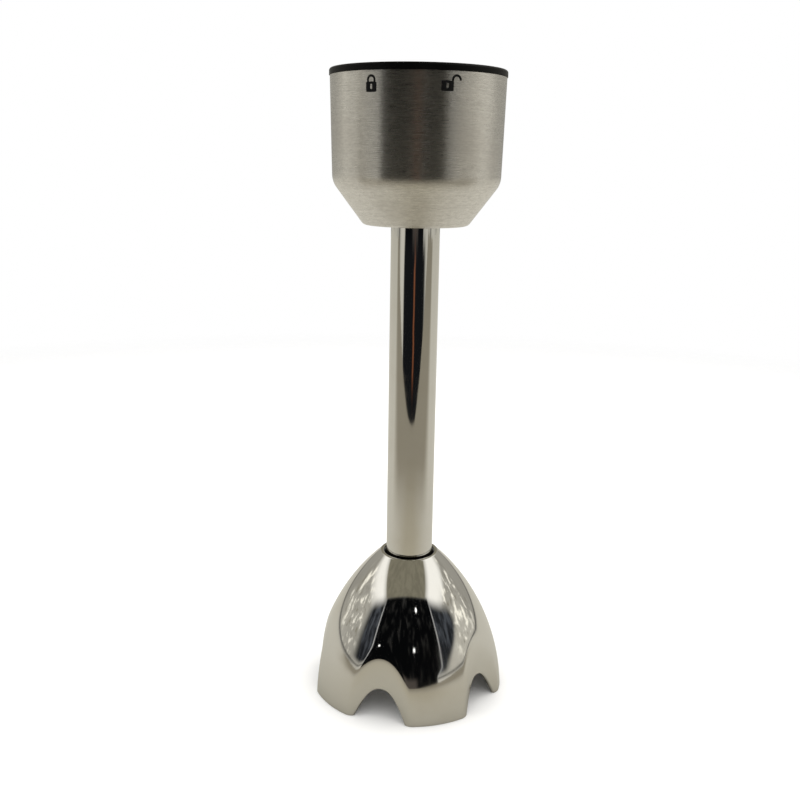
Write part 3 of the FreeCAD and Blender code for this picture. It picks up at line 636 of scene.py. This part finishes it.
# %% Wrap a material
class Finish(Tree):
    """A material on the Principled shader, read in Object coordinates, which are metres in the CAD frame."""

    def __init__(self, name, **fixed):
        self.material = bpy.data.materials.new(name)
        self.material.use_nodes = True
        super().__init__(self.material.node_tree)
        self.shader = next(n for n in self.nodes if n.type == "BSDF_PRINCIPLED")
        for words, value in fixed.items():
            self.feed(self.shader, words.replace("_", " "), value)
        self.place = self.out(self.node("ShaderNodeTexCoord"), "Object")

    def stretched(self, x, y, z):
        """The place scaled along each axis, so that a noise on it is drawn out the other way."""
        made = self.node("ShaderNodeMapping", Vector=self.place, Scale=(x, y, z))
        return Value(self, made.outputs[0])

    def bump(self, height, distance, strength=1.0):
        """Feeds a height, in units of distance metres, to the shader's normal."""
        made = self.node("ShaderNodeBump", Height=height, Distance=distance, Strength=strength)
        self.feed(self.shader, "Normal", Value(self, made.outputs[0]))

    def set(self, **sockets):
        for words, value in sockets.items():
            self.feed(self.shader, words.replace("_", " "), value)
        return self.material


def grey(v, tint=(1.0, 1.0, 1.0)):
    return (v * tint[0], v * tint[1], v * tint[2], 1.0)


# %% [markdown]
# ### Brushed steel
# The cup was turned against an abrasive belt. Each grain left a fine scratch that runs round the cup, so light
# spreads up and down but stays sharp from side to side, and the room shows as upright bands. The shader's
# anisotropy gives the spread, and a noise drawn out sideways gives the scratches.

# %% Mix the brushed steel
WARM = (1.0, 0.975, 0.93)


def brushed_steel():
    f = Finish("brushed_steel", Metallic=1.0, Anisotropic=0.85, Anisotropic_Rotation=0.25)
    fine = f.noise(f.stretched(170, 170, 8000), 1.0, 3.0, 0.6)
    broad = f.noise(f.stretched(30, 30, 1800), 1.0, 2.0)
    stain = f.noise(f.place, 55.0, 3.0)
    lines = fine * 0.65 + broad * 0.35
    mottle = f.noise(f.stretched(520, 520, 1700), 1.0, 4.0, 0.65)
    f.bump(lines + mottle * 0.5, 0.00004, 0.5)
    colour = f.mix(f.step(lines * 0.5 + mottle * 0.5, 0.36, 0.64), grey(0.62, WARM), grey(0.80, WARM))
    return f.set(
        Base_Color=f.mix(f.step(stain, 0.45, 0.75) * 0.25, colour, grey(0.55, (1.0, 0.95, 0.87))),
        Roughness=0.22 + fine * 0.12 + f.step(stain, 0.5, 0.8) * 0.05,
    )


# %% [markdown]
# ### Polished steel
# Bell and tube are buffed to a mirror. A pressed sheet is never true, so wide, shallow waves bend the reflections,
# and a little dullness gathers where fingers and the buffing wheel left it. The groove at the neck is shallower here
# than a dark gap would need to be, so its shade is painted: a near-black ring of colour on bell and tube at the neck.

# %% Mix the polished steel
# Where the painted shade of the neck's groove lies: its height below the bell's top, and its soft edges.
GROOVE_BELOW_TOP, GROOVE_HALF, GROOVE_EDGE = 0.5, (0.6, 0.9), (-0.2, 0.3)


def polished_steel():
    f = Finish("polished_steel", Metallic=1.0)
    waves = f.noise(f.stretched(1, 1, 0.6), 62.0, 1.0)
    hair = f.noise(f.stretched(2600, 2600, 90), 1.0, 2.0, 0.6)
    smudge = f.noise(f.place, 38.0, 4.0, 0.6)
    f.bump(waves + hair * 0.02, 0.00006)
    dull = f.step(smudge, 0.48, 0.72)
    bright = f.mix(dull * 0.5, grey(0.71, (1.0, 0.985, 0.94)), grey(0.64, (1.0, 0.96, 0.88)))
    apart = f.node("ShaderNodeSeparateXYZ", Vector=f.place)
    out = f.math("SQRT", f.out(apart, 0) ** 2.0 + f.out(apart, 1) ** 2.0)
    # Painted shade: the neck's groove, on the bell and the tube, is coloured near black where a deeper gap would be in
    # shadow.
    from_groove = abs(f.out(apart, 2) - (bell_high - GROOVE_BELOW_TOP) * MM)
    inside = 1.0 - f.step(out, *((recess + past) * MM for past in GROOVE_EDGE))
    groove_painted_shade = inside * (1.0 - f.step(from_groove, *(half * MM for half in GROOVE_HALF)))
    return f.set(
        Base_Color=f.mix(groove_painted_shade, bright, grey(0.012)),
        Roughness=0.035 + dull * 0.05 + hair * 0.03,
    )


# %% [markdown]
# ### The plain metals
# Turned parts keep fine rings from the lathe, ground parts keep straight grinding lines, and sintered bronze is
# porous and soaked with oil. One recipe covers them: a base, lines along one direction, and specks.

# %% Mix the plain metals
def plain_metal(name, base, dark, roughness, lines, speck):
    f = Finish(name, Metallic=1.0)
    grain = f.noise(f.stretched(*lines), 1.0, 3.0, 0.6)
    spots = f.noise(f.place, speck, 2.0)
    f.bump(grain, 0.00002, 0.4)
    return f.set(
        Base_Color=f.mix(f.step(spots, 0.4, 0.75) * 0.6, base, dark),
        Roughness=roughness + grain * 0.14 + f.step(spots, 0.5, 0.8) * 0.08,
    )


# %% [markdown]
# ### Mouldings and rubber
# Moulded plastic is never flat black: the tool's fine spark-eroded grain breaks up its sheen, and handling
# polishes it unevenly. Glass-filled nylon shows pale fibres, and acetal lets in a little light.

# %% Mix the mouldings
def moulding(name, base, worn, roughness, grain_scale, depth, **fixed):
    f = Finish(name, **{"Specular_IOR_Level": 0.2, **fixed})
    grain = f.noise(f.place, grain_scale, 3.0, 0.6)
    rub = f.noise(f.place, 90.0, 3.0)
    fibres = f.noise(f.stretched(900, 2600, 900), 1.0, 2.0)
    f.bump(grain, depth, 0.5)
    return f.set(
        Base_Color=f.mix(f.step(rub * 0.6 + fibres * 0.4, 0.42, 0.7) * 0.5, base, worn),
        Roughness=roughness + grain * 0.12 - f.step(rub, 0.5, 0.75) * 0.08,
    )


# %% Make every finish
STEEL = grey(0.60, WARM)
finishes = {
    "brushed_steel": brushed_steel(),
    "polished_steel": polished_steel(),
    "plain_steel": plain_metal("plain_steel", STEEL, grey(0.42, WARM), 0.22, (400, 400, 5000), 500.0),
    "blade_steel": plain_metal("blade_steel", grey(0.64, WARM), grey(0.5, WARM), 0.16, (3500, 300, 900), 260.0),
    "bronze": plain_metal("bronze", (0.55, 0.33, 0.16, 1), (0.33, 0.19, 0.09, 1), 0.36, (900, 900, 900), 1500.0),
    "black_plastic": moulding(
        "black_plastic", grey(0.0015), grey(0.004), 0.30, 1400.0, 0.00002, Specular_IOR_Level=0.10
    ),
    "coupler_plastic": moulding("coupler_plastic", grey(0.022), grey(0.06), 0.42, 1700.0, 0.00003),
    "white_plastic": moulding(
        "white_plastic", grey(0.72, (1, 0.985, 0.94)), grey(0.6, (1, 0.96, 0.88)), 0.36, 1200.0, 0.00002,
        Subsurface_Weight=0.15, Subsurface_Scale=0.001,
    ),
    "black_rubber": moulding("black_rubber", grey(0.005), grey(0.014), 0.62, 2200.0, 0.00004),
}
ink = moulding("mark_ink", grey(0.004), grey(0.009), 0.5, 3000.0, 0.000005, Specular_IOR_Level=0.05)
for material in (*finishes.values(), ink):
    print(f"{material.name}: {len(material.node_tree.nodes)} nodes")

# %% Dress every piece
slots = {row["node"]: row["material_slot"] for row in frame["record"]["subparts"]}
for node, slot in slots.items():
    shown = frame["nodes"][node]
    shown.data.materials.clear()
    shown.data.materials.append(finishes[slot])
new_finish = {
    cup: "brushed_steel",
    tube: "polished_steel",
    bell: "polished_steel",
    blade: "blade_steel",
    spring: "plain_steel",
}
for piece, slot in new_finish.items():
    piece.data.materials.clear()
    piece.data.materials.append(finishes[slot])
for mark in marks:
    mark.data.materials.append(ink)
print(len(slots), "CAD nodes,", len(new_finish), "remade pieces and", len(marks), "printed pieces are dressed")

# %% [markdown]
# ## The light tent
# A mirror looks like its room. Polished metal is shown in a white tent with a mouth for the camera, so the world
# here is that tent. It could be modelled as hanging cloth, but to a mirror that is small beside it only directions
# matter: a ray's direction gives an azimuth and an elevation, and each sheet of cloth is a smooth step in them.

# %% Measure a ray's direction
world = bpy.data.worlds.new("tent")
world.use_nodes = True
bpy.context.scene.world = world
w = Tree(world.node_tree)
sky = next(n for n in w.nodes if n.type == "BACKGROUND")
way = w.out(w.node("ShaderNodeTexCoord"), "Generated")
split = w.node("ShaderNodeSeparateXYZ", Vector=way)
dx, dy, dz = (w.out(split, i) for i in range(3))
DEG = 180 / math.pi
NEVER_FLAT = 0.05
azimuth = w.math("ARCTAN2", dx, dy * -1.0) * DEG
elevation = w.math("ARCSINE", dz) * DEG
from_front = abs(azimuth + 2.0)
roof_across = dx / w.math("MAXIMUM", dz, NEVER_FLAT)


def window(value, start, end, soft):
    """1 between start and end and 0 outside, with edges as wide as soft."""
    return w.step(value, start - soft, start + soft) * (1.0 - w.step(value, end - soft, end + soft))


print("the tent's directions take", len(w.nodes), "nodes")

# %% [markdown]
# Directions are in degrees, and tones are shares of white. The walls are ivory cloth, uneven and dimmer behind.
# Crumpled cloth hangs at both sides, and a bright patch beside each edge of the roof is where a lamp outside shines
# through.

# %% Hang the walls
IVORY, SHADE = (1.0, 0.97, 0.87), (1.0, 0.93, 0.70)
crumple = w.noise(w.vector("MULTIPLY", way, (7.0, 7.0, 10.0)), 1.0, 5.0, 0.7)
unevenness = w.step(w.noise(way, 1.6, 2.0), 0.35, 0.65)
room = w.mix(unevenness, grey(0.44, IVORY), grey(0.62, IVORY))
room = w.mix(w.step(from_front, 92.0, 135.0) * 0.75, room, grey(0.36, IVORY))
crumpled = window(from_front, 76.0, 124.0, 8.0) * window(elevation, 4.0, 42.0, 6.0)
room = w.mix(crumpled * w.step(crumple, 0.53, 0.60) * 0.95, room, grey(1.35, IVORY))
room = w.mix(crumpled * (1.0 - w.step(crumple, 0.36, 0.45)) * 0.8, room, grey(0.26, SHADE))
lit = window(abs(roof_across + 0.1), 0.80, 1.6, 0.12) * w.step(elevation, 26.0, 40.0)
room = w.mix(lit, room, grey(1.25, (1.0, 0.985, 0.94)))
print("with its walls the tent takes", len(w.nodes), "nodes")

# %% [markdown]
# In front is the mouth, whose top edge sags a little to both sides. Dark cloth is folded back on both sides of it,
# wider at the top on the right, and a grey-brown board lies on the tent above its edge.

# %% Open the mouth
MOUTH_LEFT, MOUTH_RIGHT, MOUTH_RIGHT_LOW = -49.0, 44.5, 37.0
COOL = (0.86, 0.95, 1.12)
folds = w.noise(w.vector("MULTIPLY", way, (9.0, 9.0, 1.5)), 1.4, 4.0, 0.6)
above_mouth = w.step(elevation + azimuth * azimuth * 0.0029, 49.2, 51.6)
flap_top = 44.0 - 0.45 * (from_front - 45.0)
flap_right = 52.0 + 28.0 * w.step(elevation, 2.0, 22.0)
flap = w.step(azimuth, -80.0, -66.0) * (1.0 - w.step(azimuth - flap_right, -6.0, 6.0))
flap = flap * (1.0 - w.step(elevation - flap_top, -5.0, 5.0))
flap_tone = w.mix(w.step(folds, 0.40, 0.66), grey(0.018, COOL), grey(0.10, COOL))
flap_hem = 1.0 - w.step(elevation, 0.5, 5.0)
room = w.mix(flap, room, w.mix(flap_hem * 0.9, flap_tone, grey(0.75, IVORY)))
board = window(roof_across, -0.84, 0.63, 0.035) * above_mouth
room = w.mix(board, room, w.mix(w.step(crumple, 0.4, 0.6), grey(0.22, SHADE), grey(0.27, SHADE)))
mouth_right = MOUTH_RIGHT_LOW + (MOUTH_RIGHT - MOUTH_RIGHT_LOW) * w.step(elevation, 1.0, 7.0)
mouth = w.step(azimuth - MOUTH_LEFT, -1.2, 1.2) * (1.0 - w.step(azimuth - mouth_right, -1.2, 1.2))
mouth = mouth * (1.0 - above_mouth)
murk = w.mix(w.step(folds, 0.50, 0.75), grey(0.003, COOL), grey(0.035, (1.0, 0.98, 0.94)))
room = w.mix(mouth, room, murk)
print("with its mouth the tent takes", len(w.nodes), "nodes")

# %% [markdown]
# A cup and a tube with upright walls look at the horizon and below it, where the dark of the mouth goes on down to
# the floor's front edge. A dim upright shape stands in it, with a swaying brown strip below.

# %% Fill the mouth near the floor
shape = window(azimuth, -13.0, 12.0, 3.0) * window(elevation, -7.0, 3.0, 2.0)
room = w.mix(shape, room, grey(0.085, (1.0, 0.86, 0.76)))
sway = (w.noise(w.vector("MULTIPLY", way, (0.0, 0.0, 26.0)), 1.0, 2.0) - 0.5) * 12.0
strip = window(azimuth + sway, -4.0, 3.0, 1.6) * window(elevation, -13.0, -5.0, 1.5)
room = w.mix(strip, room, (0.24, 0.085, 0.04, 1))
low_dark = w.step(azimuth, -55.0, -49.0) * (1.0 - w.step(azimuth, 42.0, 56.0))
low_dark = low_dark * (1.0 - w.step(elevation, -5.5, -3.0))
room = w.mix(low_dark * (1.0 - strip), room, grey(0.010, COOL))
print("with the low shapes the tent takes", len(w.nodes), "nodes")

# %% [markdown]
# Last come the thin things that a curved mirror draws as lines and dots: the mouth's bright seams, the dark hem
# where the walls meet the floor, the outer edges of the flaps, and three small lamps inside the mouth.

# %% Add seams, hem and lamps
LAMPS = ((15.6, 42.4, 1.4), (-39.6, 16.9, 1.0), (9.2, 19.6, 1.2))


def lamp_dot(at_azimuth, at_elevation, size):
    """1 within size degrees of a direction, by its distance from the unit vector to it."""
    a, e = math.radians(at_azimuth), math.radians(at_elevation)
    to = (math.sin(a) * math.cos(e), -math.cos(a) * math.cos(e), math.sin(e))
    away = w.out(w.node("ShaderNodeVectorMath", {"operation": "DISTANCE"}, i0=way, i1=to), "Value")
    return 1.0 - w.step(away, math.radians(size * 0.6), math.radians(size * 1.4))


seams = window(azimuth - MOUTH_LEFT, -1.2, 0.2, 0.5) + window(azimuth - mouth_right, -0.1, 1.3, 0.5)
room = w.mix(seams * window(elevation, 2.0, 40.0, 3.0) * 0.75, room, grey(0.75))
room = w.mix(window(elevation, 0.3, 1.5, 0.5) * (1.0 - mouth) * 0.8, room, grey(0.04))
flap_edge = window(from_front, 75.0, 81.0, 2.0) * (1.0 - w.step(elevation, -2.0, 0.0))
room = w.mix(flap_edge * 0.8, room, grey(0.06))
for lamp_place in LAMPS:
    room = w.mix(lamp_dot(*lamp_place), room, grey(2.4))
print("the whole tent takes", len(w.nodes), "nodes")

# %% [markdown]
# The tent is there for the mirrors. Matt surfaces get even, soft light from all round instead, three tenths brighter
# than white, and behind the object there is plain white.

# %% Light each kind of ray
AMBIENT = 1.3
rays = w.node("ShaderNodeLightPath")
seen, spread = w.out(rays, "Is Camera Ray"), w.out(rays, "Is Diffuse Ray")
backdrop = w.mix(seen, room, grey(1.0))
w.feed(sky, "Color", w.mix(spread, backdrop, grey(AMBIENT, (1.0, 0.995, 0.98))))
w.feed(sky, "Strength", 1.0)
print(f"matt surfaces are lit at {AMBIENT:.1f} of white")

# %% [markdown]
# ## Floor, lamp and camera
# The floor is a plain pale sheet that ends just behind the camera, and further back on the right. Seen straight it
# is lit a little past white, so that only the contact shadow shows, and it clears far away and from below. A mirror
# would show it that bright too, so reflections get painted shade instead: a darker, warmer tone, darker in front of
# the object and darkest further off in front, towards the tent's mouth, and lighter to the sides.

# %% Lay the floor
FLOOR_FRONT, FLOOR_BACK, FLOOR_SIDE = -0.42, 2.4, 2.4
FRONT_SLANT, SLANT_FROM = 0.37, 0.1
# SEEN is the floor's own tone. BESIDE, BEFORE and FAR_BEFORE are painted shade: the tones that mirrors see instead.
SEEN, BESIDE = grey(0.93, (1, 0.997, 0.99)), grey(0.47, IVORY)
BEFORE, FAR_BEFORE = grey(0.36, (1, 0.93, 0.74)), grey(0.23, (1, 0.92, 0.74))
FRONT_STEP, ASIDE_STEP, FAR_STEP, CLEAR_STEP = (-0.16, 0.06), (0.03, 0.20), (0.12, 0.34), (0.30, 0.85)


def floor_points(count=49):
    """A flat sheet at height 0: x runs from side to side and y from the front edge, which slants, to the back."""
    x, share = np.meshgrid(np.linspace(-FLOOR_SIDE, FLOOR_SIDE, count), np.linspace(0, 1, count), indexing="ij")
    front = FLOOR_FRONT - FRONT_SLANT * np.maximum(x - SLANT_FROM, 0)
    return np.stack([x, front + (FLOOR_BACK - front) * share, 0 * x], axis=-1)


floor = surface("floor", floor_points(), wrap=(False, False))
f = Finish("pale_floor", Roughness=0.9, Specular_IOR_Level=0.0)
ray = f.node("ShaderNodeLightPath")
mirrored, straight = f.out(ray, "Is Glossy Ray"), f.out(ray, "Is Camera Ray")
behind = f.out(f.node("ShaderNodeNewGeometry"), "Backfacing")
apart = f.node("ShaderNodeSeparateXYZ", Vector=f.place)
distance = f.out(f.node("ShaderNodeVectorMath", {"operation": "LENGTH"}, i0=f.place), "Value")
# Painted shade in reflections: darker in front of the object, lighter to the sides, darkest further off in front.
front = 1.0 - f.step(f.out(apart, 1), *FRONT_STEP)
aside = f.step(abs(f.out(apart, 0)), *ASIDE_STEP)
shaded = f.mix(front * (1.0 - aside * 0.7), BESIDE, BEFORE)
shaded = f.mix(f.step(distance, *FAR_STEP) * front, shaded, FAR_BEFORE)
floor.data.materials.append(
    f.set(
        Base_Color=f.mix(mirrored, SEEN, shaded),
        Alpha=(1.0 - straight * f.step(distance, *CLEAR_STEP)) * (1.0 - straight * behind),
    )
)

# %% Hang the lamp
LAMP_SIDE, LAMP_WATTS = 0.9, 2.5
LAMP_PLACE, LAMP_TILT = (0.1, 0.15, 1.1), (math.radians(-8), math.radians(5), 0)
lamp = bpy.data.lights.new("softbox", "AREA")
lamp.shape = "SQUARE"
lamp.size = LAMP_SIDE
lamp.energy = LAMP_WATTS
lamp.color = (1.0, 0.985, 0.96)
lamp_holder = bpy.data.objects.new("softbox", lamp)
lamp_holder.location = LAMP_PLACE
lamp_holder.rotation_euler = LAMP_TILT
bpy.context.scene.collection.objects.link(lamp_holder)
lamp_holder.visible_glossy = False
print(f"softbox: {LAMP_SIDE} m square, {LAMP_WATTS} W, {LAMP_PLACE[2]} m up")

# %% Stand the camera
LENS, SENSOR = 44.68, 36.0
PLACE, PITCH, ROLL = (-0.00462, -0.369, 0.205), 0.236, 0.017
camera = bpy.data.cameras.new("camera")
camera.lens = LENS
camera.sensor_width = SENSOR
camera.clip_start, camera.clip_end = 0.01, 20.0
camera_holder = bpy.data.objects.new("camera", camera)
camera_holder.location = PLACE
aim = Matrix.Rotation(math.pi / 2 - PITCH, 4, "X") @ Matrix.Rotation(ROLL, 4, "Z")
camera_holder.rotation_euler = aim.to_euler()
bpy.context.scene.collection.objects.link(camera_holder)
bpy.context.scene.camera = camera_holder
bpy.context.scene.view_settings.view_transform = "Standard"
print(f"camera: {LENS} mm lens, {PLACE[2]} m up, looking {math.degrees(PITCH):.1f} degrees down")
